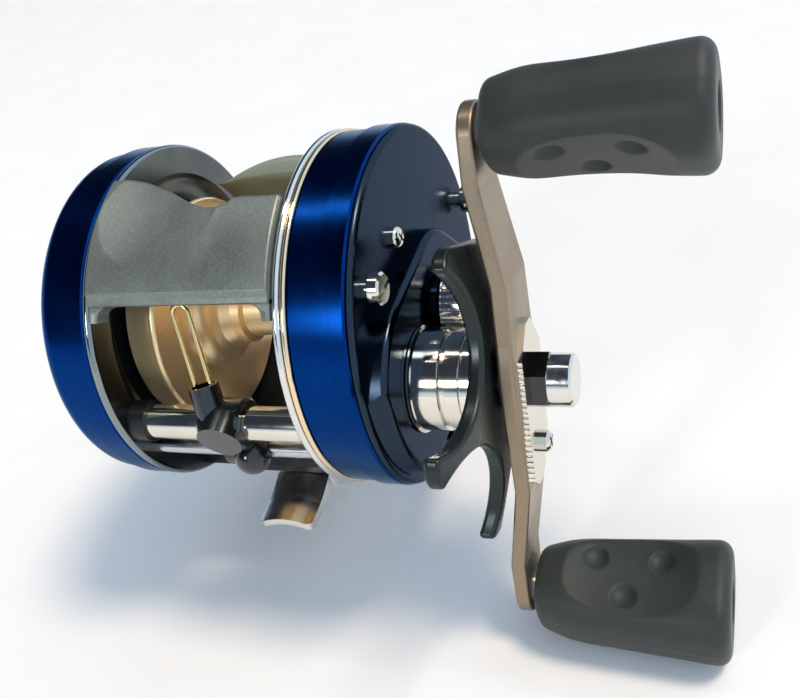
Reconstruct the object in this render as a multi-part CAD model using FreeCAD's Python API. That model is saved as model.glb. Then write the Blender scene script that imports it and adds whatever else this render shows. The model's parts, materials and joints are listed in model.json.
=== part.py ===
import FreeCAD, Part
import math
import os

# Round baitcasting reel with its handle on the right.
# Frame: +X along the spool axis towards the handle, +Y towards the back (the line leaves
# towards -Y), +Z up.  The origin is on the axis of the rod tube, straight below the spool axis.
# Points written as (y, z) are measured from the spool axis.

V = FreeCAD.Vector

# ---------------------------------------------------------------- driving dimensions (mm)
ROD_R = 8.5                     # radius of the rod tube that the foot sits on
SEAT_TO_SPOOL = 29.0            # height of the spool axis over the top of the rod tube
SPOOL_Z = ROD_R + SEAT_TO_SPOOL

LEFT_INNER = -14.2              # inner faces of the two rings
RIGHT_INNER = 13.7
RIM_R = 26.0                    # outer radius of rings and side plates
SPIGOT_R = 24.4                 # step on each ring that the side plate slips over
RING_HOLE_R = 18.0              # hole that the spool passes through
LEFT_FACE = -24.0
FACE = 24.8                     # flat of the gear side face plate
HOUSING = 27.45                 # top of the raised gear housing

SPOOL_R = 17.6
SPOOL_HALF = 9.9                # middle to the inner side of each spool flange
ARBOR_R = 4.2
SHAFT_R = 1.2                   # spool shaft in its bearings
RUN = 0.04                      # radial clearance of a running fit

DRIVE = (-12.5, -3.7)           # crank axis
WORM = (-21.8, -4.6)            # level wind worm axis
GUIDE_ROD = (-20.6, -10.4)
TUBE_R = 2.5
TUBE_END = 15.4                 # the tube ends inside the rings
BUSH_R = 1.8
GUIDE_ROD_R = 1.1

PINION_TEETH = 10
GEAR_TEETH = 53
SPOOL_COG_TEETH = 12
IDLER_TEETH = 45
WORM_COG_TEETH = 10
COG_MODULE = 0.4
PRESSURE_ANGLE = math.radians(25)

HANDLE_REACH = 33.2             # crank axis to each knob axis
HANDLE_LEAN = math.radians(77.2)  # direction of the upper end of the handle, from +Y
STAR_R = 22.3
STAR_TURN = math.radians(100.4)
ARM_MID = 39.8                  # inner face of the handle arm at the crank axis
ARM_END = 37.7                  # inner face at the knobs
ARM_T = 2.1
KNOB_START = 40.5
KNOB_END = 66.8

GUIDE_X = 0.9                   # middle of the line guide carriage at rest
WIRE_X = -1.2                   # middle of its wire loop


# ---------------------------------------------------------------- helpers
def export(node, *solids):
    shape = solids[0] if len(solids) == 1 else Part.makeCompound(list(solids))
    shape.exportStep("parts/%s.step" % node)
    print("%-24s %2d solids %10.2f mm3" % (node, len(shape.Solids), shape.Volume))


def point(x, y, z):
    return V(x, y, SPOOL_Z + z)


def rod(x0, x1, radius, at=(0, 0)):
    return Part.makeCylinder(radius, x1 - x0, point(x0, *at), V(1, 0, 0))


def ring(x0, x1, outer, inner, at=(0, 0)):
    return rod(x0, x1, outer, at).cut(rod(x0 - 1, x1 + 1, inner, at))


def outline(places, to_point):
    """Closed wire; a place of four numbers is an arc through its first pair to its second."""
    last = places[0][-2:]
    edges = []
    for place in list(places[1:]) + [places[0][-2:]]:
        end = place[-2:]
        if len(place) == 4:
            edges.append(Part.Arc(to_point(*last), to_point(*place[:2]), to_point(*end)).toShape())
        elif end != last:
            edges.append(Part.LineSegment(to_point(*last), to_point(*end)).toShape())
        last = end
    return Part.Wire(edges)


def turned(profile, at=(0, 0)):
    """Body turned about a line along X: the profile is (x, radius)."""
    wire = outline(profile, lambda x, r: point(x, at[0], at[1] + r))
    return Part.Face(wire).revolve(point(0, *at), V(1, 0, 0), 360)


def plate(places, x0, x1):
    """Outline in (y, z) pulled along X."""
    wire = outline(places, lambda y, z: point(x0, y, z))
    return Part.Face(wire).extrude(V(x1 - x0, 0, 0))


def tilted(direction, start, radius, length):
    """Cylinder from start = (x, y, z) along direction = (x, y, z)."""
    return Part.makeCylinder(radius, length, point(*start), V(*direction))


def polar(radius, angle, at=(0, 0)):
    return (at[0] + radius * math.cos(angle), at[1] + radius * math.sin(angle))


def turn_about(shape, angle, at):
    copy = shape.copy()
    copy.rotate(point(0, *at), V(1, 0, 0), math.degrees(angle))
    return copy


def rounded(shape, radius, choose):
    """Fillet the edges that choose accepts."""
    edges = [edge for edge in shape.Edges if choose(edge)]
    return shape.makeFillet(radius, edges)


def on_plane(x):
    def choose(edge):
        box = edge.BoundBox
        return abs(box.XMin - x) < 1e-4 and abs(box.XMax - x) < 1e-4
    return choose


# ---------------------------------------------------------------- gears
def involute_gear(x0, x1, teeth, module, at, turn, bore=0.0, thinning=0.06):
    """Spur gear with involute flanks; one tooth is centred on the angle turn."""
    pitch = module * teeth / 2
    base = pitch * math.cos(PRESSURE_ANGLE)
    tip = pitch + 0.85 * module
    root = pitch - 1.2 * module
    involute = math.tan(PRESSURE_ANGLE) - PRESSURE_ANGLE
    half_at_pitch = (math.pi * module / 2 - thinning) / (2 * pitch)

    def half_width(radius):
        if radius <= base:
            return half_at_pitch + involute
        slope = math.acos(base / radius)
        return half_at_pitch + involute - (math.tan(slope) - slope)

    start = max(base, root)
    steps = 5
    radii = [start + (tip - start) * k / steps for k in range(steps + 1)]
    if root < start:
        radii.insert(0, root)
    corners = []
    for tooth in range(teeth):
        middle = turn + 2 * math.pi * tooth / teeth
        flank = [(radius, half_width(radius)) for radius in radii]
        corners += [point(x0, *polar(radius, middle - half, at)) for radius, half in flank]
        corners += [point(x0, *polar(radius, middle + half, at)) for radius, half in reversed(flank)]
    wire = Part.makePolygon(corners + corners[:1])
    gear = Part.Face(wire).extrude(V(x1 - x0, 0, 0))
    if bore:
        gear = gear.cut(rod(x0 - 1, x1 + 1, bore, at))
    return gear


def mesh_turn(teeth, from_at, to_at):
    """Tooth angle that puts a gap of a gear at to_at opposite a tooth that points at it."""
    back = math.atan2(from_at[1] - to_at[1], from_at[0] - to_at[0])
    return back + math.pi / teeth


def spokes(count, inner, outer, x0, x1, at):
    """Round lightening holes between hub and rim."""
    holes = []
    for k in range(count):
        middle = polar((inner + outer) / 2, 2 * math.pi * k / count, at)
        holes.append(rod(x0 - 1, x1 + 1, (outer - inner) / 2, middle))
    return holes


def idler_place():
    """Centre of the idler cog, which meshes with the spool cog and the worm cog."""
    near = COG_MODULE * (SPOOL_COG_TEETH + IDLER_TEETH) / 2
    far = COG_MODULE * (IDLER_TEETH + WORM_COG_TEETH) / 2
    span = math.hypot(*WORM)
    along = (near ** 2 - far ** 2 + span ** 2) / (2 * span)
    side = math.sqrt(near ** 2 - along ** 2)
    uy, uz = WORM[0] / span, WORM[1] / span
    return (uy * along + uz * side, uz * along - uy * side)


# ---------------------------------------------------------------- frame
THUMB_TAB = (18.2, 7.4)         # corner of the tab that runs in a slot of the right ring
THUMB_TRAVEL = 3.0
BAR_END = 12.9
BAR_R = 25.4
BAR_INNER_R = 20.5
BAR_CROWN_R = 17.0
BAR_CROWN_X = 0.8               # middle of the crown


def seat_level_wind(ring_body, side):
    """Stepped hole for the level wind tube and its bush, and a hole for the guide rod."""
    holes = [(13.0, TUBE_END, TUBE_R, WORM), (TUBE_END - 1, 19.0, BUSH_R, WORM),
             (13.0, 19.0, GUIDE_ROD_R, GUIDE_ROD)]
    for near, far, radius, at in holes:
        x0, x1 = sorted((side * near, side * far))
        ring_body = ring_body.cut(rod(x0, x1, radius, at))
    return ring_body


def frame_ring_left():
    inner = LEFT_INNER
    body = turned([(inner, 21.6), (inner, 25.5), (inner - 0.65, RIM_R, inner - 1.3, 25.5),
                   (inner - 1.3, SPIGOT_R), (-17.0, SPIGOT_R), (-17.0, RING_HOLE_R),
                   (-16.5, RING_HOLE_R), (-15.9, 20.1, inner, 21.6)])
    return seat_level_wind(body, -1)


def frame_ring_right():
    inner = RIGHT_INNER
    body = turned([(inner, 21.6), (inner, 25.5), (inner + 0.55, RIM_R, inner + 1.1, 25.5),
                   (inner + 1.15, 25.2), (inner + 1.2, 25.5), (inner + 1.6, 25.95, inner + 2.0, 25.5),
                   (inner + 2.0, SPIGOT_R), (18.3, SPIGOT_R), (18.3, RING_HOLE_R),
                   (16.5, RING_HOLE_R), (15.9, 20.1, inner, 21.6)])
    body = seat_level_wind(body, 1)
    y, z = THUMB_TAB
    slot = Part.makeBox(8, 2.8, 4.2 + THUMB_TRAVEL, point(12, y - 0.4, z - THUMB_TRAVEL - 0.6))
    return body.cut(slot)


def cross_bar(at, radius):
    """Bar between the rings with a stepped, shouldered middle."""
    x0, x1 = LEFT_INNER, RIGHT_INNER
    return turned([(x0, 0), (x0, radius), (x0 + 1.2, radius), (x0 + 2.0, radius - 0.5),
                   (x1 - 2.0, radius - 0.5), (x1 - 1.2, radius), (x1, radius), (x1, 0)], at)


def foot_bar():
    """Arched bridge between the rings that carries the foot."""
    arch = ring(LEFT_INNER, RIGHT_INNER, 25.2, 21.8)
    wedge = plate([(0, 0), (-14.0, -26.0), (-14.0, -30.0), (20.0, -30.0), (20.0, -22.0)],
                  LEFT_INNER, RIGHT_INNER)
    bar = arch.common(wedge)
    pad = Part.makeBox(15, 27, 3.4, point(-7.5, -9.0, -26.2))
    pad = pad.common(rod(-8, 8, 28.0)).cut(rod(-9, 9, 23.0))
    bar = bar.fuse(pad).removeSplitter()
    for y in RIVET_Y:
        bar = bar.cut(Part.makeCylinder(1.2, 14, point(0, y, -30)))
        bar = bar.cut(Part.makeCylinder(2.4, 8, point(0, y, rivet_seat(y))))
    return bar


RIVET_Y = (-4.0, 4.5, 13.0)


def rivet_seat(y):
    """Height of the spot face under a rivet head, from the spool axis."""
    return -math.sqrt(21.8 ** 2 - y ** 2) - 0.1


FOOT_FRONT = -18.0
FOOT_BACK = 35.0


def reel_foot():
    """Crowned plate with a trough below that fits the rod tube."""
    def in_side_view(y, r):
        return V(0, y, r)
    front, back = FOOT_FRONT, FOOT_BACK
    crown = outline([(front - 1, 0), (front - 1, 9.5), (-13.5, 10.0), (-11.0, 10.5, -8.5, 11.3),
                     (20.0, 11.3), (23.5, 10.5, 26.5, 10.0), (back + 1, 9.5), (back + 1, 0)],
                    in_side_view)
    crown = Part.Face(crown).revolve(V(0, 0, 0), V(0, 1, 0), 360)
    arm, middle, corner = 4.6, 7.25, 1.2
    cut, flat = arm - 0.35, arm - corner
    top_view = outline([(-arm, front + corner), (-cut, front + 0.35, -flat, front),
                        (flat, front), (cut, front + 0.35, arm, front + corner),
                        (arm, -9.0), (4.9, -7.2, middle, -5.4), (middle, 20.0), (4.9, 22.0, arm, 24.0),
                        (arm, back - corner), (cut, back - 0.35, flat, back),
                        (-flat, back), (-cut, back - 0.35, -arm, back - corner),
                        (-arm, 24.0), (-4.9, 22.0, -middle, 20.0), (-middle, -5.4), (-4.9, -7.2, -arm, -9.0)],
                       lambda x, y: V(x, y, 0))
    blank = Part.Face(top_view).extrude(V(0, 0, 20))
    foot = blank.common(crown)
    trough = Part.makeCylinder(ROD_R, 80, V(0, -40, 0), V(0, 1, 0))
    foot = foot.cut(trough)
    for y in RIVET_Y:
        foot = foot.cut(Part.makeCylinder(1.2, 8, V(0, y, ROD_R + 1.0)))
    return foot


def foot_rivets():
    rivets = []
    for y in RIVET_Y:
        seat = SPOOL_Z + rivet_seat(y)
        shank = Part.makeCylinder(1.2, seat - ROD_R - 1.0, V(0, y, ROD_R + 1.0))
        head = Part.makeSphere(2.3, V(0, y, seat - 1.0))
        head = head.common(Part.makeBox(6, 6, 4, V(-3, y - 3, seat)))
        rivets.append(shank.fuse(head).removeSplitter())
    return rivets


REST_OUTER = 27.0
REST_INNER = 25.3


def thumb_rest():
    """Shell over the front of the frame, with a wavy upper edge and a lip along the line opening."""
    left, right = LEFT_INNER + 0.1, RIGHT_INNER - 0.1
    shell = ring(left, right, REST_OUTER, REST_INNER)
    low, high = math.radians(180 - 35.2), math.radians(180 - 79)
    wedge = plate([(0, 0), polar(40, low), polar(40, math.radians(122)), polar(40, high)], left, right)
    shell = shell.common(wedge)
    # the wavy upper edge is cut square to the shell at 72 degrees above the front
    lean = math.radians(180 - 72)
    out = V(0, math.cos(lean), math.sin(lean))
    up = V(0, math.sin(lean), -math.cos(lean))
    wave = [(-16.0, 2.4), (-9.5, 2.3), (-5.0, 0.6), (0.0, -2.2), (3.9, -3.3), (7.4, -2.2), (10.5, -2.2),
            (16.0, -2.4)]
    centre = point(0, 0, 0)
    curve = Part.BSplineCurve()
    curve.interpolate([centre + up * h + V(x, 0, 0) for x, h in wave])
    top = centre + up * 12
    edges = [curve.toShape(),
             Part.LineSegment(centre + up * wave[-1][1] + V(16, 0, 0), top + V(16, 0, 0)).toShape(),
             Part.LineSegment(top + V(16, 0, 0), top + V(-16, 0, 0)).toShape(),
             Part.LineSegment(top + V(-16, 0, 0), centre + up * wave[0][1] + V(-16, 0, 0)).toShape()]
    shell = shell.cut(Part.Face(Part.Wire(edges)).extrude(out * 40))
    lip = ring(left, right, REST_INNER + 0.1, 23.9)
    lip_wedge = plate([(0, 0), polar(40, low), polar(40, low - math.radians(3.2))], left, right)
    shell = shell.fuse(lip.common(lip_wedge))
    for x0, x1 in ((left, left + 1.3), (right - 1.3, right)):
        gusset = ring(x0, x1, 26.2, 23.4)
        gusset = gusset.common(plate([(0, 0), polar(40, low + math.radians(9)), polar(40, low - 0.03)],
                                     x0, x1))
        shell = shell.fuse(gusset)
    return shell.removeSplitter()


# ---------------------------------------------------------------- side plates
CLICKER = polar(14.5, math.radians(115))
CLICK_TRAVEL = 3.0


def left_side_plate():
    body = turned([(-15.5, SPIGOT_R + 0.02), (-15.5, 25.7), (-15.7, 25.9), (-19.1, 25.9), (-19.3, 25.3),
                   (-22.0, 25.3), (-23.4, 24.7, LEFT_FACE, 23.2), (LEFT_FACE, 19.2), (-23.7, 18.8),
                   (-23.7, 0), (-22.4, 0), (-22.4, 23.4), (-22.0, 24.1), (-20.8, 24.75), (-17.4, 24.75),
                   (-17.2, SPIGOT_R + 0.02)])
    slot = rod(-25, -22, 1.3, CLICKER)
    far = (CLICKER[0], CLICKER[1] - CLICK_TRAVEL)
    slot = slot.fuse(rod(-25, -22, 1.3, far))
    slot = slot.fuse(Part.makeBox(3, 2.6, CLICK_TRAVEL, point(-25, CLICKER[0] - 1.3, far[1])))
    return body.cut(slot)


def left_inner_plate():
    """Closes the ring, and carries the spool bearing, the brake ring and the idler."""
    body = rod(-18.0, -17.02, 24.3).cut(rod(-19, -16, 4.0))
    body = body.fuse(ring(-18.8, -17.9, 5.2, 4.0))
    for hole in (rod(-19, -16, BUSH_R, WORM), rod(-19, -16, GUIDE_ROD_R, GUIDE_ROD)):
        body = body.cut(hole)
    return body.removeSplitter()


def right_side_plate():
    start = RIGHT_INNER + 2.02
    return turned([(start, SPIGOT_R + 0.02), (start, 25.4), (start + 0.2, 25.6), (20.1, 25.6), (20.3, RIM_R),
                   (23.5, RIM_R), (23.8, 25.7), (23.8, 24.3), (23.2, 24.3), (22.6, 24.9), (18.6, 24.9),
                   (18.4, SPIGOT_R + 0.02)])


def hull_of_circles(circles, x0, x1):
    """Straight-sided solid around circles given as (y, z, radius)."""
    body = None
    for y, z, radius in circles:
        disc = rod(x0, x1, radius, (y, z))
        body = disc if body is None else body.fuse(disc)
    count = len(circles)
    for k in range(count):
        y0, z0, r0 = circles[k]
        y1, z1, r1 = circles[(k + 1) % count]
        span = math.hypot(y1 - y0, z1 - z0)
        heading = math.atan2(z1 - z0, y1 - y0)
        spread = math.acos((r0 - r1) / span)
        left, right = heading + spread, heading - spread
        web = [polar(r0, left, (y0, z0)), polar(r1, left, (y1, z1)),
               polar(r1, right, (y1, z1)), polar(r0, right, (y0, z0))]
        body = body.fuse(plate(web, x0, x1))
    middle = [(y, z) for y, z, radius in circles]
    if count > 2:
        body = body.fuse(plate(middle, x0, x1))
    return body.removeSplitter()


THUMBSCREWS = [polar(22.3, math.radians(angle)) for angle in (140.6, 14.0, 258.0)]
FACE_SCREWS = [polar(15.3, math.radians(110.0)), polar(22.4, math.radians(-58.0))]


def face_plate():
    """Gear side face with the raised pear-shaped housing."""
    disc = turned([(23.2, 0), (23.2, 24.2), (23.9, 24.2), (23.9, 25.7), (24.1, 25.85),
                   (24.6, 25.6, FACE, 25.1), (FACE, 0)])
    housing = hull_of_circles([(0, 0, 11.0), (DRIVE[0], DRIVE[1], 13.5), (8.0, -7.0, 10.4)],
                              FACE - 0.2, HOUSING)
    housing = housing.common(turned([(FACE - 1, 0), (FACE - 1, 24.9), (FACE, 24.9), (HOUSING, 24.2),
                                     (HOUSING + 1, 23.6), (HOUSING + 1, 0)]))
    housing = rounded(housing, 0.9, on_plane(HOUSING))
    hub = rod(HOUSING - 0.2, 31.0, 4.2)
    body = disc.fuse(housing).fuse(hub).removeSplitter()
    cuts = [rod(23, 27.2, 3.6), rod(27, 32, 1.8), rod(23, 28, 4.3, DRIVE)]
    cuts += [rod(23, 26, 1.3, at) for at in THUMBSCREWS]
    cuts += [rod(23, 26, 0.8, at) for at in FACE_SCREWS]
    for cut in cuts:
        body = body.cut(cut)
    return body


def thumbscrew(at):
    screw = turned([(18.5, 0), (18.5, 1.25), (25.9, 1.25), (25.9, 1.9), (26.1, 2.1), (27.3, 2.1),
                    (27.6, 1.8), (27.6, 0)], at)
    slot = Part.makeBox(2, 6, 0.6, point(26.7, at[0] - 3, at[1] - 0.3))
    return screw.cut(slot)


def face_screw(at):
    screw = turned([(21.9, 0), (21.9, 0.78), (FACE, 0.78), (FACE, 1.5), (25.5, 1.5),
                    (26.0, 1.2, 26.15, 0.6), (26.15, 0)], at)
    for quarter in (0, math.pi / 2):
        blade = Part.makeBox(1.0, 1.8, 0.36, point(25.5, at[0] - 0.9, at[1] - 0.18))
        screw = screw.cut(turn_about(blade, quarter + 0.5, at))
    return screw


# ---------------------------------------------------------------- gear side
def gear_bridge():
    """Inner plate of the gear side, with the inner bearing of the crank."""
    body = rod(17.2, 18.3, RING_HOLE_R - 0.03)
    body = body.fuse(rod(18.2, 19.0, 3.6, DRIVE))
    body = body.cut(rod(16, 20, 2.0 + RUN, DRIVE)).cut(rod(16, 20, 2.6))
    return body.removeSplitter()


def drive_collar():
    """Stepped chrome collar over the one-way bearing."""
    start = HOUSING
    return turned([(start, 5.9), (start, 7.25), (start + 0.15, 7.4), (start + 0.4, 7.4),
                   (start + 0.55, 7.15),
                   (start + 0.7, 7.0), (31.6, 7.0), (31.8, 6.5), (32.3, 6.5), (32.5, 6.9), (34.4, 6.9),
                   (34.5, 6.6), (34.7, 6.6), (34.8, 6.8), (35.9, 6.8), (36.3, 6.4), (36.3, 4.1), (34.8, 4.1),
                   (34.8, 5.9)], DRIVE)


def one_way_bearing():
    """Outer shell with the rollers that grip the clutch sleeve."""
    shell = ring(28.0, 34.6, 5.88, 5.0, DRIVE)
    shell = shell.cut(ring(28.8, 33.8, 5.4, 4.6, DRIVE))
    rollers = []
    for k in range(8):
        at = polar(4.62, 2 * math.pi * k / 8, DRIVE)
        rollers.append(rod(28.9, 33.7, 0.68, at))
    return shell, rollers


def spool_bearing(x0, x1, outer, at=(0, 0)):
    """Ball bearing drawn as two races and its balls."""
    inner_race = ring(x0, x1, SHAFT_R + 0.75, SHAFT_R + RUN, at)
    outer_race = ring(x0, x1, outer, outer - 0.6, at)
    middle = (SHAFT_R + 0.75 + outer - 0.6) / 2
    ball = (outer - 0.6 - SHAFT_R - 0.75) / 2
    balls = []
    for k in range(7):
        y, z = polar(middle, 2 * math.pi * k / 7, at)
        balls.append(Part.makeSphere(ball, point((x0 + x1) / 2, y, z)))
    return [inner_race, outer_race] + balls


# ---------------------------------------------------------------- spool
def spool():
    half = SPOOL_HALF
    left = [(-15.2, 15.7), (-15.2, 16.7), (-half - 1.1, 16.7), (-half - 1.1, 17.3),
            (-half - 0.55, SPOOL_R, -half, 17.3), (-half, 9.3), (-half + 0.3, 9.0), (-half + 0.9, 8.9),
            (-8.2, 8.3, -7.4, 7.0), (-6.6, 5.9), (-5.0, 5.2), (-3.5, 5.2), (-3.2, ARBOR_R)]
    right = [(3.2, ARBOR_R), (3.5, 5.2), (5.0, 5.2), (6.6, 5.9), (7.4, 7.0),
             (8.2, 8.3, half - 0.9, 8.9), (half - 0.3, 9.0), (half, 9.3), (half, 17.3),
             (half + 0.55, SPOOL_R, half + 1.1, 17.3), (half + 1.1, 16.7), (15.2, 16.7), (15.2, 15.7)]
    inside = [(11.1, 15.7), (11.1, 3.2), (13.2, 3.2), (13.2, 1.5), (-13.2, 1.5), (-13.2, 3.2),
              (-11.1, 3.2), (-11.1, 15.7)]
    return turned(left + right + inside)


def spool_shaft():
    return turned([(-22.2, 0), (-22.2, 0.9), (-21.9, SHAFT_R), (-13.3, SHAFT_R), (-13.3, 1.5), (13.3, 1.5),
                   (13.3, SHAFT_R), (30.6, SHAFT_R), (31.0, 0.8), (31.0, 0)])


def brake_blocks():
    """Two sliding blocks on a cross pin, and the pin."""
    pin = tilted((0, 0, 1), (-13.9, 0, -6.4), 0.45, 12.8).cut(rod(-15, -13, 1.5))
    blocks = []
    for side in (-1, 1):
        block = tilted((0, 0, side), (-13.9, 0, side * 4.6), 1.15, 2.9)
        blocks.append(block.cut(tilted((0, 0, side), (-13.9, 0, side * 4.0), 0.47, 3.2)))
    collar = ring(-14.9, -13.3, 2.4, SHAFT_R)
    return blocks, [pin.cut(collar), collar]


# ---------------------------------------------------------------- level wind
def level_wind_tube():
    body = ring(-TUBE_END, TUBE_END, TUBE_R, 2.1, WORM)
    slot = Part.makeBox(25.0, 2.0, 4.0, point(-12.5, WORM[0] - 1.0, WORM[1] - 4.6))
    return body.cut(slot)


def worm_shaft():
    """Crossed-groove worm."""
    body = turned([(-21.0, 0), (-21.0, 1.0), (-20.8, SHAFT_R), (-15.2, SHAFT_R), (-15.1, 1.9), (15.1, 1.9),
                   (15.2, SHAFT_R), (17.0, SHAFT_R), (17.0, 0)], WORM)
    pitch = 3.0
    for k in range(-4, 5):
        for lean in (-1, 1):
            groove = ring(-0.35, 0.35, 3.2, 1.45, WORM)
            groove.rotate(point(0, *WORM), V(0, 0, 1), lean * 32)
            groove.translate(V(k * pitch, 0, 0))
            body = body.cut(groove)
    return body


def line_guide_carriage():
    """Sleeve on the level wind tube, with the guide rod eye, the wire cup and the dome over the pawl."""
    x0, x1 = GUIDE_X - 3.3, GUIDE_X + 3.3
    body = turned([(x0, 2.0), (x0, 3.3), (x0 + 0.4, 3.7), (x1 - 0.4, 3.7), (x1, 3.3), (x1, 2.0)], WORM)
    eye = rod(x0 + 0.9, x1, 2.2, GUIDE_ROD)
    web = plate([(WORM[0] - 2.0, WORM[1]), (WORM[0] + 2.6, WORM[1]), (GUIDE_ROD[0] + 2.1, GUIDE_ROD[1]),
                 (GUIDE_ROD[0] - 2.1, GUIDE_ROD[1])], x0 + 0.9, x1 - 0.2)
    front = tilted((0, -0.96, -0.28), (GUIDE_X + 0.2, WORM[0] - 0.6, WORM[1] + 0.8), 3.25, 3.4)
    cup = tilted(WIRE_LEAN, (WIRE_X + 0.45, WORM[0] - 0.7, WORM[1] + 1.8), 2.15, 4.6)
    cup = cup.cut(tilted(WIRE_LEAN, (WIRE_X, *WIRE_FOOT), 1.68, 4.0))
    pawl_dome = Part.makeSphere(2.7, point(*PAWL_DOME))
    body = body.fuse([eye, web, front, cup, pawl_dome]).removeSplitter()
    body = body.cut(rod(x0 - 9, x1 + 9, TUBE_R + 0.08, WORM))
    body = body.cut(rod(x0 - 9, x1 + 9, GUIDE_ROD_R + 0.08, GUIDE_ROD))
    return body.cut(tilted((0, 0, 1), (PAWL_X, WORM[0], WORM[1] - 5.0), 0.8, 5.0))


WIRE_LEAN = (-0.16, 0.336, 0.9282)
WIRE_R = 0.35
WIRE_GAP = 2.5
WIRE_FOOT = (WORM[0] + 0.25, WORM[1] + 4.4)
WIRE_LENGTH = 12.2
PAWL_X = GUIDE_X + 1.9
PAWL_DOME = (PAWL_X, -22.1, -10.4)


def guide_wire():
    """Narrow loop of round wire that the line runs through."""
    lean = V(*WIRE_LEAN)
    foot = point(WIRE_X, *WIRE_FOOT)
    side = V(1, 0, 0) - lean * lean.x
    half = side.normalize() * (WIRE_GAP / 2)
    top = foot + lean * WIRE_LENGTH
    path = Part.Wire([Part.LineSegment(foot - half, top - half).toShape(),
                      Part.Arc(top - half, top + lean * (WIRE_GAP / 2), top + half).toShape(),
                      Part.LineSegment(top + half, foot + half).toShape()])
    section = Part.Wire([Part.Circle(foot - half, lean, WIRE_R).toShape()])
    return path.makePipeShell([section], True, False)


def pawl():
    """Pin under the worm, in the slot of the tube."""
    return tilted((0, 0, 1), (PAWL_X, WORM[0], WORM[1] - 3.2), 0.75, 1.1)


# ---------------------------------------------------------------- thumb bar and clutch
def thumb_bar():
    """Crowned bar across the back of the frame; pressing it down frees the spool."""
    low, middle, high = math.radians(17), math.radians(31), math.radians(45)
    corner = 1.4
    turn = corner / BAR_R
    section = [polar(BAR_INNER_R, low), polar(BAR_R - corner, low),
               polar(BAR_R - 0.3 * corner, low + 0.3 * turn) + polar(BAR_R, low + turn),
               polar(BAR_R, middle) + polar(BAR_R, high - turn),
               polar(BAR_R - 0.3 * corner, high - 0.3 * turn) + polar(BAR_R - corner, high),
               polar(BAR_INNER_R, high), polar(BAR_INNER_R, middle) + polar(BAR_INNER_R, low)]
    body = plate(section, -BAR_END, BAR_END)
    # the crown falls away towards both ends
    lean = math.radians(35)
    outward = V(0, math.cos(lean), math.sin(lean))
    along = V(0, -math.sin(lean), math.cos(lean))
    start = point(BAR_CROWN_X, 0, 0) + outward * (BAR_R - BAR_CROWN_R) - along * 30
    body = body.common(Part.makeCylinder(BAR_CROWN_R, 60, start, along))
    tab = Part.makeBox(9.0, 2.0, 3.0, point(8.0, *THUMB_TAB))
    return body.fuse(tab).removeSplitter()


def clutch_yoke():
    """Plate that lifts the pinion when the thumb bar goes down."""
    y = THUMB_TAB[0]
    return plate([(3.6, 6.5), (3.6, -1.5), (5.2, -1.5), (5.2, 5.0), (y - 0.4, 5.4), (y - 0.4, 8.6),
                  (9.0, 8.6)], 18.6, 19.3)


# ---------------------------------------------------------------- crank
def drive_shaft():
    return turned([(17.0, 0), (17.0, 2.0), (19.1, 2.0), (19.1, 3.0), (39.7, 3.0), (39.7, 2.5), (45.4, 2.5),
                   (45.4, 0)], DRIVE)


def ratchet_wheel():
    corners = []
    for k in range(16):
        turn = 2 * math.pi * k / 16
        corners.append(polar(5.2, turn, DRIVE))
        corners.append(polar(6.6, turn + 0.05, DRIVE))
    return plate(corners, 19.3, 20.0).cut(rod(18, 21, 3.0, DRIVE))


def star_wheel():
    """Five arms swept from the hub towards the side plate."""
    corners = []
    tip_half = 2.3 / STAR_R
    shoulder, valley = STAR_R - 0.6, 10.0
    step = 2 * math.pi / 5
    for k in range(5):
        turn = STAR_TURN + k * step
        corners.append(polar(valley, turn - step / 2, DRIVE) + polar(shoulder, turn - tip_half, DRIVE))
        corners.append(polar(STAR_R, turn, DRIVE) + polar(shoulder, turn + tip_half, DRIVE))
    blade = plate(corners, 30, 42)
    inner, outer = 36.9, 38.9
    dish = turned([(inner, 0), (inner, 8.0), (inner - 0.5, 13.0, 33.9, STAR_R + 1), (36.1, STAR_R + 1),
                   (outer - 0.4, 13.4, outer, 8.6), (outer, 0)], DRIVE)
    star = rounded(blade.common(dish), 0.6, lambda edge: True)
    return star.cut(rod(30, 42, 3.05, DRIVE))


def along_handle(x, s, w):
    """Point at distance s along the handle and w across it."""
    y = DRIVE[0] + s * math.cos(HANDLE_LEAN) + w * math.sin(HANDLE_LEAN)
    z = DRIVE[1] + s * math.sin(HANDLE_LEAN) - w * math.cos(HANDLE_LEAN)
    return point(x, y, z)


def handle_arm():
    """Counterbalanced arm, cranked in towards the plate at both ends."""
    tip = HANDLE_REACH
    end_half, mid_half = 4.1, 6.3
    face = outline([(-tip, -end_half), (-7.0, -5.6), (0, -mid_half, 7.0, -5.6), (tip, -end_half),
                    (tip + 3.4, 0, tip, end_half), (7.0, 5.6), (0, mid_half, -7.0, 5.6),
                    (-tip, end_half), (-tip - 3.4, 0, -tip, -end_half)],
                   lambda s, w: along_handle(30, s, w))
    face = Part.Face(face).extrude(V(20, 0, 0))
    side = [(-50, ARM_END), (-27.0, ARM_END), (-14.5, ARM_MID), (14.5, ARM_MID), (27.0, ARM_END),
            (50, ARM_END), (50, ARM_END + ARM_T), (27.0, ARM_END + ARM_T), (14.5, ARM_MID + ARM_T),
            (-14.5, ARM_MID + ARM_T), (-27.0, ARM_END + ARM_T), (-50, ARM_END + ARM_T)]
    side = outline(side, lambda s, x: along_handle(x, s, -20))
    across = along_handle(0, 0, 40) - along_handle(0, 0, 0)
    arm = rounded(face.common(Part.Face(side).extrude(across)), 0.45, lambda edge: edge.Length > 3.5)
    arm = arm.cut(rod(30, 50, 2.5, DRIVE))
    arm = arm.cut(rod(30, 50, 0.8, handle_frame(*LOCK_SCREW)))
    for s in (-tip, tip):
        arm = arm.cut(Part.makeCylinder(1.3, 20, along_handle(30, s, 0), V(1, 0, 0)))
    return arm.removeSplitter()


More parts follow.
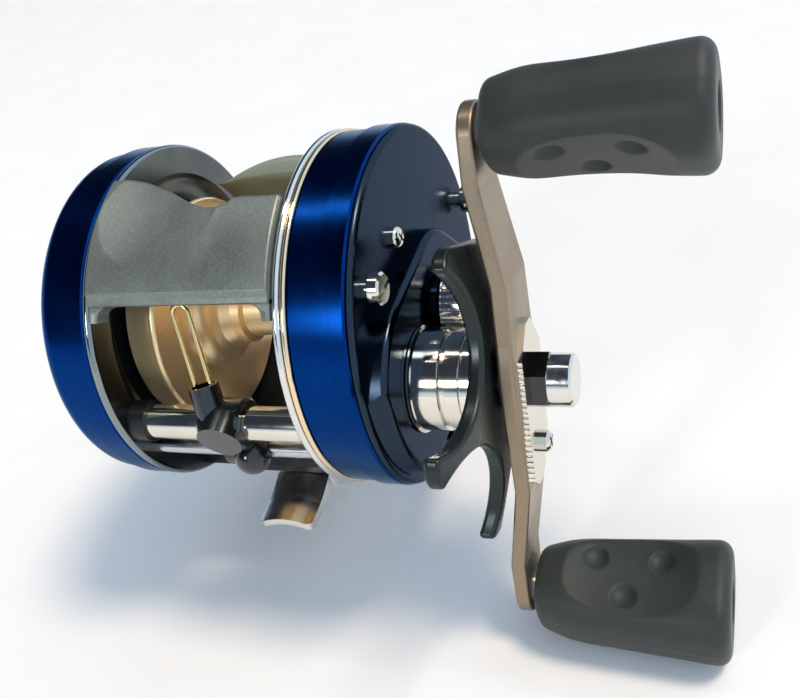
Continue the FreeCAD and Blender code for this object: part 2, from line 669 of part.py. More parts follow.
def handle_frame(s, w):
    """(y, z) of a place on the handle, from the spool axis."""
    place = along_handle(0, s, w)
    return (place.y, place.z - SPOOL_Z)


ARM_FACE = ARM_MID + ARM_T
LOCK_SCREW = (-9.4, 0.5)
LOCK_HALF = 4.9


def lock_plate():
    """Long six-sided plate that keeps the nut from turning, with a serrated long edge."""
    x0, x1 = ARM_FACE, ARM_FACE + 0.9
    body = outline([(8.4, 1.2), (8.4, -1.2), (4.6, -LOCK_HALF), (-12.6, -LOCK_HALF), (-14.2, -2.8),
                    (-14.2, -0.6), (-9.0, 4.6), (4.0, 4.9)], lambda s, w: along_handle(x0, s, w))
    body = Part.Face(body).extrude(V(x1 - x0, 0, 0))
    body = body.cut(rod(x0 - 1, x1 + 1, 2.5, DRIVE))
    body = body.cut(rod(x0 - 1, x1 + 1, 0.8, handle_frame(*LOCK_SCREW)))
    for k in range(21):
        body = body.cut(rod(x0 - 1, x1 + 1, 0.24, handle_frame(4.0 - 0.8 * k, -LOCK_HALF - 0.05)))
    return body


def handle_nut():
    """Hexagon with a long round end."""
    x0 = ARM_FACE + 0.9
    corners = [polar(4.0, HANDLE_LEAN + math.pi * k / 3, DRIVE) for k in range(6)]
    nut = plate(corners, x0, x0 + 2.4)
    cap = turned([(x0 + 2.3, 0), (x0 + 2.3, 3.55), (48.0, 3.55), (48.3, 3.25), (48.3, 0)], DRIVE)
    nut = nut.fuse(cap)
    return nut.cut(rod(x0 - 1, 45.5, 2.5, DRIVE)).removeSplitter()


def lock_screw():
    at = handle_frame(*LOCK_SCREW)
    x0 = ARM_FACE + 0.9
    screw = turned([(ARM_FACE - 1.4, 0), (ARM_FACE - 1.4, 0.78), (x0, 0.78), (x0, 1.5), (x0 + 0.9, 1.5),
                    (x0 + 1.3, 1.1), (x0 + 1.3, 0)], at)
    for quarter in (0, math.pi / 2):
        blade = Part.makeBox(1.0, 2.2, 0.4, point(x0 + 0.8, at[0] - 1.1, at[1] - 0.2))
        screw = screw.cut(turn_about(blade, quarter + 0.3, at))
    return screw


def knob_post(s):
    """Riveted axle of a knob, with a screw head in the end recess."""
    x0 = ARM_END + ARM_T
    end = KNOB_END - 2.0
    return turned([(ARM_END - 0.35, 0), (ARM_END - 0.35, 1.7), (ARM_END, 2.1), (ARM_END, 1.3), (x0, 1.3),
                   (x0, 2.4), (x0 + 0.3, 2.4), (x0 + 0.3, 1.5), (end - 1.0, 1.5), (end - 1.0, 2.1),
                   (end - 0.2, 2.1), (end, 1.8), (end, 0)], handle_frame(s, 0))


KNOB_TURN = (math.radians(-48), math.radians(9))


def knob(s, turn):
    """Flared oval grip with two flats and three dimples on each."""
    at = handle_frame(s, 0)
    sections = [(KNOB_START, 4.4, 4.6), (KNOB_START + 1.0, 5.4, 5.7), (KNOB_START + 4.5, 6.1, 7.0),
                (KNOB_START + 11.0, 6.4, 7.9), (KNOB_START + 18.0, 6.8, 8.4), (KNOB_END - 3.6, 7.2, 8.8),
                (KNOB_END - 1.2, 7.1, 8.6), (KNOB_END, 6.0, 7.4)]
    wires = []
    for x, thin, wide in sections:
        centre = point(x, *at)
        ellipse = Part.Ellipse(centre + V(0, wide, 0), centre + V(0, 0, thin), centre)
        wires.append(Part.Wire([ellipse.toShape()]))
    body = Part.makeLoft(wires, True, False)
    for side in (-1, 1):
        for x, y in ((KNOB_START + 7.9, 2.5), (KNOB_START + 17.2, 2.4), (KNOB_START + 12.6, -3.0)):
            dimple = Part.makeSphere(2.2, point(x, at[0] + side * y, at[1] + side * 7.9))
            body = body.cut(dimple)
    body = body.cut(rod(KNOB_START - 1, KNOB_END + 1, 1.5 + RUN, at))
    body = body.cut(rod(KNOB_END - 3.2, KNOB_END + 1, 3.1, at))
    return turn_about(body, turn, at)


# ---------------------------------------------------------------- cast control and clicker
def cast_control_cap():
    outer = 5.75
    cap = turned([(28.2, 4.2 + RUN), (28.2, 5.0), (28.9, outer), (33.2, outer), (34.0, 5.0), (34.0, 0),
                  (31.5, 0), (31.5, 4.2 + RUN)])
    for k in range(40):
        groove = rod(29.0, 33.1, 0.2, polar(outer + 0.04, 2 * math.pi * k / 40))
        cap = cap.cut(groove)
    return cap


def clicker_button():
    return turned([(-25.4, 0), (-25.4, 1.6), (-25.2, 2.0), (-24.1, 2.0), (-24.1, 1.1), (-22.2, 1.1),
                   (-22.2, 1.9), (-21.9, 1.9), (-21.9, 0)], CLICKER)


def clicker_tongue():
    y, z = CLICKER
    return plate([(y - 0.6, z - 2.5), (y - 0.5, 4.6 + CLICK_TRAVEL), (y + 0.5, 4.0 + CLICK_TRAVEL),
                  (y + 0.6, z - 2.5)], -21.8, -21.2)


# ---------------------------------------------------------------- build
def gear_module():
    return 2 * math.hypot(*DRIVE) / (PINION_TEETH + GEAR_TEETH)


def build_frame():
    export("frame_ring_left", frame_ring_left())
    export("frame_ring_right", frame_ring_right())
    export("rear_cross_bar", cross_bar((20.8, -11.5), 2.4))
    export("foot_bar", foot_bar())
    export("reel_foot", reel_foot())
    export("foot_rivets", *foot_rivets())
    export("thumb_rest", thumb_rest())
    export("left_side_plate", left_side_plate())
    export("left_inner_plate", left_inner_plate())
    export("right_side_plate", right_side_plate())
    export("face_plate", face_plate())
    export("side_plate_thumbscrews", *[thumbscrew(at) for at in THUMBSCREWS])
    export("face_screws", *[face_screw(at) for at in FACE_SCREWS])
    export("gear_bridge", gear_bridge())
    export("drive_collar", drive_collar())
    shell, rollers = one_way_bearing()
    export("one_way_bearing_shell", shell)
    export("one_way_rollers", *rollers)
    export("left_spool_bearing", *spool_bearing(-18.7, -17.1, 3.98))
    export("right_spool_bearing", *spool_bearing(25.0, 27.1, 3.58))
    export("brake_ring", ring(-17.0, -12.6, 8.8, 7.9))


def build_level_wind():
    idler = idler_place()
    spool_turn = math.atan2(idler[1], idler[0])
    idler_turn = mesh_turn(IDLER_TEETH, (0, 0), idler)
    export("level_wind_tube", level_wind_tube())
    export("guide_rod", rod(-17.6, 17.6, GUIDE_ROD_R, GUIDE_ROD))
    export("worm_bushes", *[ring(x, x + 1.8, BUSH_R, SHAFT_R + RUN, WORM) for x in (-17.6, 15.45)])
    export("tube_sleeve", ring(LEFT_INNER, -11.6, 3.0, TUBE_R, WORM))
    export("worm_shaft", worm_shaft())
    to_worm = math.atan2(WORM[1] - idler[1], WORM[0] - idler[0])
    step = 2 * math.pi / IDLER_TEETH
    offset = (to_worm - idler_turn) / step
    lag = (offset - round(offset)) * step * IDLER_TEETH / WORM_COG_TEETH
    worm_turn = mesh_turn(WORM_COG_TEETH, idler, WORM) + lag
    export("spool_cog",
           involute_gear(-20.4, -18.9, SPOOL_COG_TEETH, COG_MODULE, (0, 0), spool_turn, SHAFT_R))
    idler_cog = involute_gear(-20.3, -19.0, IDLER_TEETH, COG_MODULE, idler, idler_turn, 1.2 + RUN)
    for hole in spokes(6, 3.0, 7.2, -20.3, -19.0, idler):
        idler_cog = idler_cog.cut(hole)
    export("idler_cog", idler_cog)
    export("worm_cog", involute_gear(-20.4, -18.9, WORM_COG_TEETH, COG_MODULE, WORM, worm_turn, SHAFT_R))
    export("idler_stud", rod(-20.6, -18.0, 1.2, idler).fuse(rod(-20.9, -20.5, 1.8, idler)).removeSplitter())
    export("line_guide_carriage", line_guide_carriage())
    export("guide_wire", guide_wire())
    export("pawl", pawl())


def build_spool():
    module = gear_module()
    export("spool", spool())
    export("spool_shaft", spool_shaft())
    mesh_at = math.atan2(DRIVE[1], DRIVE[0])
    export("pinion", involute_gear(19.4, 22.8, PINION_TEETH, module, (0, 0), mesh_at, SHAFT_R))
    export("click_wheel", plate([polar(3.4 if k % 2 else 2.5, math.pi * k / 10) for k in range(20)],
                                -21.7, -21.0).cut(rod(-23, -20, SHAFT_R)))
    blocks, carrier = brake_blocks()
    export("brake_blocks", *blocks)
    export("brake_block_carrier", *carrier)


def build_crank():
    module = gear_module()
    export("drive_shaft", drive_shaft())
    gear_turn = mesh_turn(GEAR_TEETH, (0, 0), DRIVE)
    gear = involute_gear(20.2, 21.6, GEAR_TEETH, module, DRIVE, gear_turn, 3.0)
    export("main_gear", gear)
    export("ratchet_wheel", ratchet_wheel())
    export("drag_fibre_washers", *[ring(x, x + 0.35, 8.0, 3.0, DRIVE) for x in (21.6, 22.3)])
    export("drag_metal_washers", *[ring(x, x + 0.35, 7.8, 3.0, DRIVE) for x in (21.95, 22.65)])
    export("clutch_sleeve", ring(23.05, 36.4, 3.86, 3.02, DRIVE))
    export("star_spring_washer", turned([(39.0, 3.0), (39.0, 3.4), (39.5, 5.0), (39.8, 5.0), (39.3, 3.4),
                                         (39.3, 3.0)], DRIVE))
    export("handle_arm", handle_arm())
    export("lock_plate", lock_plate())
    export("handle_nut", handle_nut())
    export("lock_screw", lock_screw())
    export("knob_posts", *[knob_post(s) for s in (HANDLE_REACH, -HANDLE_REACH)])
    export("star_wheel", star_wheel())
    export("knob_upper", knob(HANDLE_REACH, KNOB_TURN[0]))
    export("knob_lower", knob(-HANDLE_REACH, KNOB_TURN[1]))


def build_controls():
    export("thumb_bar", thumb_bar())
    export("clutch_yoke", clutch_yoke())
    export("cast_control_cap", cast_control_cap())
    export("cap_shim", rod(31.1, 31.45, 2.6))
    export("clicker_button", clicker_button())
    export("clicker_tongue", clicker_tongue())


os.makedirs("parts", exist_ok=True)
build_frame()
build_level_wind()
build_spool()
build_crank()
build_controls()
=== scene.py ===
import json
import math

import bmesh
import bpy
from mathutils import Matrix, Vector


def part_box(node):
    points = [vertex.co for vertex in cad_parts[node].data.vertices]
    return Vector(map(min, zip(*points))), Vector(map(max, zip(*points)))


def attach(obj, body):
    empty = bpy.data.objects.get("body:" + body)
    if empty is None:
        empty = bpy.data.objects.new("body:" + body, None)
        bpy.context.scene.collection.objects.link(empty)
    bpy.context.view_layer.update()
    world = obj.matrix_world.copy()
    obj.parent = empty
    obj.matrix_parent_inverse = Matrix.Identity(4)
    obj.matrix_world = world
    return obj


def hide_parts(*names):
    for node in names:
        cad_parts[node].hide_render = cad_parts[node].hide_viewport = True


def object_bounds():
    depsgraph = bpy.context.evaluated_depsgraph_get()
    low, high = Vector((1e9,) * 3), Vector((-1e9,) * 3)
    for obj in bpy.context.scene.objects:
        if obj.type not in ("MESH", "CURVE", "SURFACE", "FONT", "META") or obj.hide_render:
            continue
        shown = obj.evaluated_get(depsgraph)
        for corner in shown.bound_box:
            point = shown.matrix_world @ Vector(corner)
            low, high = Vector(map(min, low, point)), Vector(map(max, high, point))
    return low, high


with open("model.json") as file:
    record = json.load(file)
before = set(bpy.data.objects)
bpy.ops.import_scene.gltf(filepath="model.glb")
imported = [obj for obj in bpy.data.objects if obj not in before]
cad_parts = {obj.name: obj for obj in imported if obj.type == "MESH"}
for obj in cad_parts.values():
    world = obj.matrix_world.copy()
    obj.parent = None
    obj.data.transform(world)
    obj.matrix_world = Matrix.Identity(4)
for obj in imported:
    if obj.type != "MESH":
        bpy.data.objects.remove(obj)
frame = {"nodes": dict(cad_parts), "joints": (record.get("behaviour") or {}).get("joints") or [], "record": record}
cad_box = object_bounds()
nodes = frame["nodes"]
joint_at = {j["name"]: Vector(j["pos_m"]) for j in frame["joints"] if j.get("pos_m")}

MM = 0.001
SPOOL = joint_at["spool_spin"]
DRIVE = joint_at["crank_turn"]
UPPER_KNOB = joint_at["upper_knob_spin"]
LOWER_KNOB = joint_at["lower_knob_spin"]


# ---------------------------------------------------------------- camera
def make_camera():
    """Close three-quarter view from the front, above and the crank side."""
    data = bpy.data.cameras.new("camera")
    data.sensor_width = 36.0
    data.lens = 43.5
    data.clip_start = 0.005
    cam = bpy.data.objects.new("camera", data)
    from_spool = Vector((73.23, -109.42, 73.90)) * MM
    ahead = Vector((-0.36929, 0.74394, -0.55694))
    right = Vector((0.92931, 0.29407, -0.2234))
    up = right.cross(ahead)
    turn = Matrix((right, up, -ahead)).transposed().to_4x4()
    cam.matrix_world = Matrix.Translation(SPOOL + from_spool) @ turn
    bpy.context.scene.collection.objects.link(cam)
    bpy.context.scene.camera = cam


# ---------------------------------------------------------------- node helpers
class Graph:
    """A material and short ways to wire its nodes. Noise scales are per metre of the object."""

    def __init__(self, name):
        self.material = bpy.data.materials.new(name)
        self.material.use_nodes = True
        self.tree = self.material.node_tree
        self.shader = self.tree.nodes["Principled BSDF"]
        self.place = self.add("ShaderNodeTexCoord").outputs["Object"]

    def add(self, kind, **settings):
        node = self.tree.nodes.new(kind)
        for key, value in settings.items():
            setattr(node, key, value)
        return node

    def link(self, source, target):
        self.tree.links.new(source, target)

    def noise(self, scale, detail=3.0, vector=None, rough=0.5):
        node = self.add("ShaderNodeTexNoise")
        node.inputs["Scale"].default_value = scale
        node.inputs["Detail"].default_value = detail
        node.inputs["Roughness"].default_value = rough
        self.link(vector or self.place, node.inputs["Vector"])
        return node.outputs["Fac"]

    def ramp(self, value, low, high, start=0.35, end=0.65):
        """Maps value from the range start..end to the range low..high."""
        node = self.add("ShaderNodeMapRange")
        node.inputs["From Min"].default_value = start
        node.inputs["From Max"].default_value = end
        node.inputs["To Min"].default_value = low
        node.inputs["To Max"].default_value = high
        self.link(value, node.inputs["Value"])
        return node.outputs["Result"]

    def beyond(self, value, limit, blend=0.05):
        """0 below a limit in mm and 1 above it, with a short blend on each side."""
        return self.ramp(value, 0.0, 1.0, (limit - blend) * MM, (limit + blend) * MM)

    def blend(self, value, first, second, start=0.35, end=0.65):
        """Plain colour that goes from first to second as value goes from start to end."""
        node = self.add("ShaderNodeValToRGB")
        node.color_ramp.elements[0].position = start
        node.color_ramp.elements[0].color = (*first, 1)
        node.color_ramp.elements[1].position = end
        node.color_ramp.elements[1].color = (*second, 1)
        self.link(value, node.inputs["Fac"])
        return node.outputs["Color"]

    def around(self, centre):
        """Sockets for x and for the distance from a line along X through centre."""
        split = self.add("ShaderNodeSeparateXYZ")
        self.link(self.place, split.inputs["Vector"])
        across = self.add("ShaderNodeCombineXYZ")
        for axis, value in (("Y", centre.y), ("Z", centre.z)):
            shift = self.add("ShaderNodeMath", operation="SUBTRACT")
            shift.inputs[1].default_value = value
            self.link(split.outputs[axis], shift.inputs[0])
            self.link(shift.outputs[0], across.inputs[axis])
        length = self.add("ShaderNodeVectorMath", operation="LENGTH")
        self.link(across.outputs["Vector"], length.inputs[0])
        return split.outputs["X"], length.outputs["Value"]

    def mix(self, factor, first, second):
        """Colour that goes from first to second with factor; each is a socket or a plain colour."""
        node = self.add("ShaderNodeMix", data_type="RGBA")
        self.link(factor, node.inputs["Factor"])
        for name, value in (("A", first), ("B", second)):
            socket = [put for put in node.inputs if put.name == name and put.type == "RGBA"][0]
            if isinstance(value, tuple):
                socket.default_value = (*value, 1)
            else:
                self.link(value, socket)
        return [out for out in node.outputs if out.type == "RGBA"][0]

    def set(self, **values):
        """Constants on the shader's own sockets."""
        for key, value in values.items():
            self.shader.inputs[key.replace("_", " ")].default_value = value

    def bump(self, height, strength, depth):
        """Relief of that depth in mm."""
        node = self.add("ShaderNodeBump")
        node.inputs["Strength"].default_value = strength
        node.inputs["Distance"].default_value = depth * MM
        self.link(height, node.inputs["Height"])
        self.link(node.outputs["Normal"], self.shader.inputs["Normal"])

    def colour(self, socket):
        self.link(socket, self.shader.inputs["Base Color"])

    def roughness(self, socket):
        self.link(socket, self.shader.inputs["Roughness"])


# ---------------------------------------------------------------- materials
WHITE = (1.0, 1.0, 1.0)
# in mm
BEAD_R = 25.56                  # the rings' beads start at this radius
WARM_REFLECTION_X = 14.85             # the right ring's outer bead starts here; from here on its warm gold colour is a painted reflection
RING_SPLIT_X = 0.5              # between the two rings; left of here the chrome bead is darkened with painted shade
NUT_HEX = 2.4                   # length of the handle nut's hexagon


def coating(name, dark, light, rough, metallic, grain=9000.0, bump=0.12, spread=0.06, coat=0.0, edge=WHITE):
    """Sprayed or anodised metal: fine grain in colour, gloss and bump over a slow cloud."""
    g = Graph(name)
    fine = g.noise(grain, 2.0)
    cloud = g.noise(160.0, 4.0)
    g.colour(g.blend(fine, dark, light))
    g.roughness(g.ramp(cloud, rough - spread, rough + spread))
    g.set(Metallic=metallic, Coat_Weight=coat, Coat_Roughness=0.16, Specular_Tint=(*edge, 1.0))
    g.bump(fine, bump, 0.03)
    return g.material


def turned_metal(name, dark, light, rough, centre, metallic=1.0, bump=0.1, edge=WHITE):
    """Metal turned on a lathe about a line along X through centre: fine rings on faces and bands."""
    g = Graph(name)
    x, radius = g.around(centre)
    line = g.add("ShaderNodeCombineXYZ")
    g.link(x, line.inputs["X"])
    g.link(radius, line.inputs["Y"])
    fine = g.noise(5200.0, 2.0, line.outputs["Vector"])
    cloud = g.noise(140.0, 3.0)
    g.colour(g.blend(fine, dark, light, 0.3, 0.7))
    g.roughness(g.ramp(cloud, rough * 0.85, rough * 1.2))
    g.set(Metallic=metallic, Specular_Tint=(*edge, 1.0))
    g.bump(fine, bump, 0.02)
    return g.material


def ring_metal():
    """Frame rings: smoked inside, with chrome beads that carry painted light: painted shade darkens the left rim's
    bead, and the right ring has a bright bead and one with a painted warm reflection.
    """
    g = Graph("smoked_ring")
    x, radius = g.around(SPOOL)
    rim = g.beyond(radius, BEAD_R, 0.04)
    # painted reflection: the right ring's outer chrome bead is coloured warm gold for the reflection it shows
    warm_reflection = g.beyond(x, WARM_REFLECTION_X)
    # painted shade: the left ring's chrome bead gets a dark colour, the right ring's bead a bright one
    silver_shaded_left = g.mix(g.beyond(x, RING_SPLIT_X, 0.5), (0.24, 0.28, 0.29), (0.74, 0.74, 0.71))
    # bead colour, with the painted warm reflection mixed in on the right ring's outer bead
    bright = g.mix(warm_reflection, silver_shaded_left, (0.86, 0.68, 0.46))
    cloud = g.noise(150.0, 3.0)
    smoked = g.blend(cloud, (0.092, 0.105, 0.108), (0.125, 0.135, 0.132))
    g.colour(g.mix(rim, smoked, bright))
    g.roughness(g.ramp(radius, 0.24, 0.10, 25.0 * MM, 25.4 * MM))
    g.set(Metallic=1.0)
    g.bump(g.noise(2400.0, 2.0), 0.04, 0.01)
    return g.material


def nut_metal():
    """Handle nut: smoked hexagon and a bright round end."""
    g = Graph("handle_nut")
    x = g.around(DRIVE)[0]
    end = g.beyond(x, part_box("handle_nut")[0].x / MM + NUT_HEX, 0.04)
    g.colour(g.mix(end, (0.06, 0.06, 0.06), (0.76, 0.73, 0.68)))
    g.roughness(g.ramp(g.noise(900.0, 3.0), 0.10, 0.20))
    g.set(Metallic=1.0)
    g.bump(g.noise(5000.0, 2.0), 0.06, 0.01)
    return g.material


def grip_rubber():
    """Dull rubber with a fine skin."""
    g = Graph("grip_rubber")
    fine = g.noise(5200.0, 2.0)
    cloud = g.noise(120.0, 5.0, rough=0.65)
    g.colour(g.blend(cloud, (0.019, 0.024, 0.021), (0.030, 0.036, 0.031)))
    g.roughness(g.ramp(cloud, 0.48, 0.58))
    g.set(Specular_IOR_Level=0.42, Sheen_Weight=0.08, Sheen_Roughness=0.4)
    g.bump(fine, 0.10, 0.03)
    return g.material


def casting_metal():
    """Sprayed casting: mid grey with fine bright flakes."""
    g = Graph("grey_casting")
    flakes = g.add("ShaderNodeTexVoronoi", feature="F1")
    flakes.inputs["Scale"].default_value = 11000.0
    g.link(g.place, flakes.inputs["Vector"])
    pick = g.add("ShaderNodeSeparateColor")
    g.link(flakes.outputs["Color"], pick.inputs["Color"])
    flake = g.ramp(pick.outputs["Red"], 0.0, 1.0, 0.70, 1.0)
    cloud = g.noise(140.0, 4.0)
    base = g.blend(cloud, (0.165, 0.188, 0.170), (0.205, 0.228, 0.206))
    g.colour(g.mix(flake, base, (0.32, 0.34, 0.30)))
    g.roughness(g.ramp(cloud, 0.36, 0.46))
    g.set(Metallic=0.55)
    g.bump(g.noise(6500.0, 2.0), 0.18, 0.03)
    return g.material


def polished(name, base, rough, smear=0.03):
    """Plated or polished metal with faint smears in its gloss."""
    g = Graph(name)
    cloud = g.noise(210.0, 4.0)
    fine = g.noise(2600.0, 2.0)
    shade = tuple(c * 0.93 for c in base)
    g.colour(g.blend(cloud, shade, base))
    g.roughness(g.ramp(cloud, max(rough - smear, 0.02), rough + smear))
    g.set(Metallic=1.0)
    g.bump(fine, 0.03, 0.01)
    return g.material


def plastic(name, base, rough):
    """Moulded plastic or pressed fibre."""
    g = Graph(name)
    fine = g.noise(4200.0, 2.0)
    light = tuple(c * 1.2 for c in base)
    g.colour(g.blend(g.noise(300.0), base, light))
    g.roughness(g.ramp(fine, rough - 0.05, rough + 0.05))
    g.bump(fine, 0.08, 0.02)
    return g.material


def make_materials():
    """Every material, by the name of its slot; three more are for single nodes."""
    return {
        "smoked_ring": ring_metal(),
        "blue_anodised": turned_metal("blue_anodised", (0.0010, 0.025, 0.138), (0.0016, 0.037, 0.20), 0.21,
                                      SPOOL, edge=(0.70, 0.84, 0.88)),
        "slate_face": coating("slate_face", (0.022, 0.034, 0.052), (0.032, 0.046, 0.068), 0.20, 1.0,
                              edge=(0.56, 0.59, 0.65)),
        "grey_casting": casting_metal(),
        "dark_frame": coating("dark_frame", (0.014, 0.015, 0.017), (0.024, 0.025, 0.027), 0.30, 0.5),
        "bright_chrome": polished("bright_chrome", (0.78, 0.73, 0.63), 0.11),
        "foot_chrome": polished("foot_chrome", (0.80, 0.77, 0.71), 0.20, 0.06),
        "handle_nut": nut_metal(),
        "steel": turned_metal("steel", (0.46, 0.46, 0.47), (0.60, 0.60, 0.60), 0.22, SPOOL),
        "brass": turned_metal("brass", (0.56, 0.38, 0.13), (0.72, 0.52, 0.22), 0.24, DRIVE),
        "gold_wire": polished("gold_wire", (0.86, 0.66, 0.30), 0.12),
        "black_coating": coating("black_coating", (0.012, 0.019, 0.018), (0.020, 0.029, 0.027), 0.28, 0.4),
        "gloss_black": coating("gloss_black", (0.006, 0.009, 0.010), (0.012, 0.016, 0.017), 0.16, 0.3,
                               coat=0.6),
        "bronze_coating": coating("bronze_coating", (0.26, 0.198, 0.135), (0.35, 0.268, 0.185), 0.36, 0.85,
                                  grain=8000.0),
        "grip_rubber": grip_rubber(),
        "champagne_spool": turned_metal("champagne_spool", (0.90, 0.65, 0.35), (0.94, 0.70, 0.40), 0.32,
                                        SPOOL, metallic=0.72, bump=0.03),
        "olive_bar": coating("olive_bar", (0.25, 0.275, 0.22), (0.31, 0.34, 0.275), 0.40, 0.1),
        "fibre": plastic("fibre", (0.12, 0.09, 0.07), 0.7),
        "nylon": plastic("nylon", (0.03, 0.03, 0.033), 0.45),
    }


# nodes whose finish differs from the rest of their slot
OWN_FINISH = {"handle_nut": "handle_nut", "line_guide_carriage": "gloss_black", "reel_foot": "foot_chrome"}


def finish_cad_nodes(materials):
    """Gives each carried-over solid the material of its slot, or its own finish."""
    for part in frame["record"]["subparts"]:
        mesh = nodes[part["node"]].data
        mesh.materials.clear()
        name = OWN_FINISH.get(part["node"], part["material_slot"])
        mesh.materials.append(materials[name])


# ---------------------------------------------------------------- mesh helpers
def skin(name, solids, sharp=40.0):
    """Object made of solids; each solid is a list of equal loops, skinned and closed at both ends.

    A solid whose last loop is its first is closed into itself.
    """
    bm = bmesh.new()
    for loops in solids:
        ringed = loops[0] is loops[-1]
        rows = [[bm.verts.new(place) for place in loop] for loop in (loops[:-1] if ringed else loops)]
        count = len(rows[0])
        pairs = list(zip(rows, rows[1:])) + ([(rows[-1], rows[0])] if ringed else [])
        for first, second in pairs:
            for k in range(count):
                n = (k + 1) % count
                bm.faces.new((first[k], first[n], second[n], second[k]))
        if not ringed:
            bm.faces.new(rows[0][::-1])
            bm.faces.new(rows[-1])
    bmesh.ops.recalc_face_normals(bm, faces=bm.faces)
    mesh = bpy.data.meshes.new(name)
    bm.to_mesh(mesh)
    bm.free()
    mesh.shade_smooth()
    mesh.set_sharp_from_angle(angle=math.radians(sharp))
    piece = bpy.data.objects.new(name, mesh)
    bpy.context.scene.collection.objects.link(piece)
    return piece


def hand_over(piece, node, materials):
    """The piece takes the node's place, body and material."""
    part = [p for p in frame["record"]["subparts"] if p["node"] == node][0]
    piece.data.materials.append(materials[part["material_slot"]])
    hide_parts(node)
    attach(piece, [b for b, held in frame["record"]["behaviour"]["bodies"].items() if node in held][0])


def smooth_curve(places, at):
    """Smooth curve through (at, value) places, by Hermite pieces."""
    last = len(places) - 1

    def slope(n):
        low, high = places[max(n - 1, 0)], places[min(n + 1, last)]
        return (high[1] - low[1]) / (high[0] - low[0])

    k = 0
    while k < last - 1 and at > places[k + 1][0]:
        k += 1
    (x0, y0), (x1, y1) = places[k], places[k + 1]
    span = x1 - x0
    t = min(max((at - x0) / span, 0.0), 1.0)
    return ((2 * t**3 - 3 * t**2 + 1) * y0 + (t**3 - 2 * t**2 + t) * span * slope(k)
            + (3 * t**2 - 2 * t**3) * y1 + (t**3 - t**2) * span * slope(k + 1))


def polar_place(x, radius, angle):
    """Place in metres from x, radius and angle about the spool axis, in mm and degrees."""
    turn = math.radians(angle)
    return SPOOL + Vector((x, radius * math.cos(turn), radius * math.sin(turn))) * MM


# ---------------------------------------------------------------- crank knobs
# sizes in mm; a is the distance from the handle arm's end of the grip
KNOB_LENGTH = 26.3
HALF_WIDTH = [(0, 5.2), (5, 6.8), (12, 7.4), (20, 7.9), (24, 8.15), (KNOB_LENGTH, 8.15)]
HALF_THICK = [(0, 5.1), (5, 5.9), (12, 6.15), (20, 6.45), (24, 6.7), (KNOB_LENGTH, 6.7)]
SQUARENESS = 2.6                # 2 is an ellipse
FACET_MIDDLE = 12.3
FACET_LEVEL = 4.55              # half thickness at the middle of the hollow facets
FACET_RISE = 1.9                # extra at FACET_REACH from the middle
FACET_REACH = 9.6
FACET_ROUND = 0.12
DIMPLES = ((8.1, 2.5), (17.3, 2.5), (12.5, -3.1))  # a, and place across
DIMPLE_R = 1.8
DIMPLE_DEPTH = 0.75
SEAM = 0.07                     # height of the mould seam
SEAM_REACH = 0.05               # its half width, as the sine of the turn
BORE_R = 1.58                   # round the post
HEAD_R = 2.75                   # recess for the post's head
HEAD_DEPTH = 3.1
COLUMNS = 208


def round_in(distance, radius):
    """How far a corner of that radius is in from its face, at a distance from the end."""
    if distance >= radius:
        return 0.0
    return radius - math.sqrt(max(radius**2 - (radius - distance)**2, 0.0))


def knob_section(a):
    """Section of the grip at a, as (across, through) places in mm."""
    inset = round_in(a, 1.2) + round_in(KNOB_LENGTH - a, 1.8)
    wide = smooth_curve(HALF_WIDTH, a) - inset
    thick = smooth_curve(HALF_THICK, a) - inset
    facet = FACET_LEVEL + FACET_RISE * abs((a - FACET_MIDDLE) / FACET_REACH) ** 2.6
    places = []
    for k in range(COLUMNS):
        turn = 2 * math.pi * k / COLUMNS
        c, s = math.cos(turn), math.sin(turn)
        w = wide * math.copysign(abs(c) ** (2 / SQUARENESS), c)
        h = thick * abs(s) ** (2 / SQUARENESS)
        # the two hollow facets, with a small round where they meet the side
        if h > facet - 10 * FACET_ROUND:
            h = 0.5 * (h + facet - math.hypot(h - facet, FACET_ROUND))
        side = math.copysign(1.0, s)
        for place, offset in DIMPLES:
            reach = math.hypot(a - place, w - side * offset) / DIMPLE_R
            if reach < 1.0:
                h -= DIMPLE_DEPTH * (1 - reach**2) ** 0.72
        # mould seam along both narrow edges
        if abs(s) < SEAM_REACH:
            w += math.copysign(SEAM * (1 - abs(s) / SEAM_REACH), w)
        places.append((w, side * h))
    return places


def knob_piece(name, node, centre, facet_angle, materials):
    """Rubber grip round its post; facet_angle is the way its facets face, in degrees from +Y."""
    turn = math.radians(facet_angle)
    through = Vector((0, math.cos(turn), math.sin(turn)))
    across = Vector((0, math.sin(turn), -math.cos(turn)))
    start = Vector((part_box(node)[0].x, centre.y, centre.z))

    def loop(a, places):
        return [start + (Vector((a, 0, 0)) + across * w + through * h) * MM for w, h in places]

    def circle(a, radius):
        steps = [2 * math.pi * k / COLUMNS for k in range(COLUMNS)]
        return loop(a, [(radius * math.cos(s), radius * math.sin(s)) for s in steps])

    stations = [0.0, 0.03, 0.1, 0.22, 0.4, 0.65, 0.95]
    stations += [1.25 + 0.2 * k for k in range(117)]
    stations += [KNOB_LENGTH - d for d in (1.6, 1.3, 1.0, 0.72, 0.48, 0.28, 0.13, 0.04, 0.0)]
    sides = [loop(a, knob_section(a)) for a in stations]
    seat = KNOB_LENGTH - HEAD_DEPTH
    loops = [circle(seat, BORE_R), circle(0.0, BORE_R)] + sides
    loops += [circle(KNOB_LENGTH, HEAD_R + 0.35), circle(KNOB_LENGTH - 0.08, HEAD_R + 0.1),
              circle(KNOB_LENGTH - 0.3, HEAD_R), circle(seat, HEAD_R)]
    loops.append(loops[0])
    piece = skin(name, [loops], 50.0)
    hand_over(piece, node, materials)


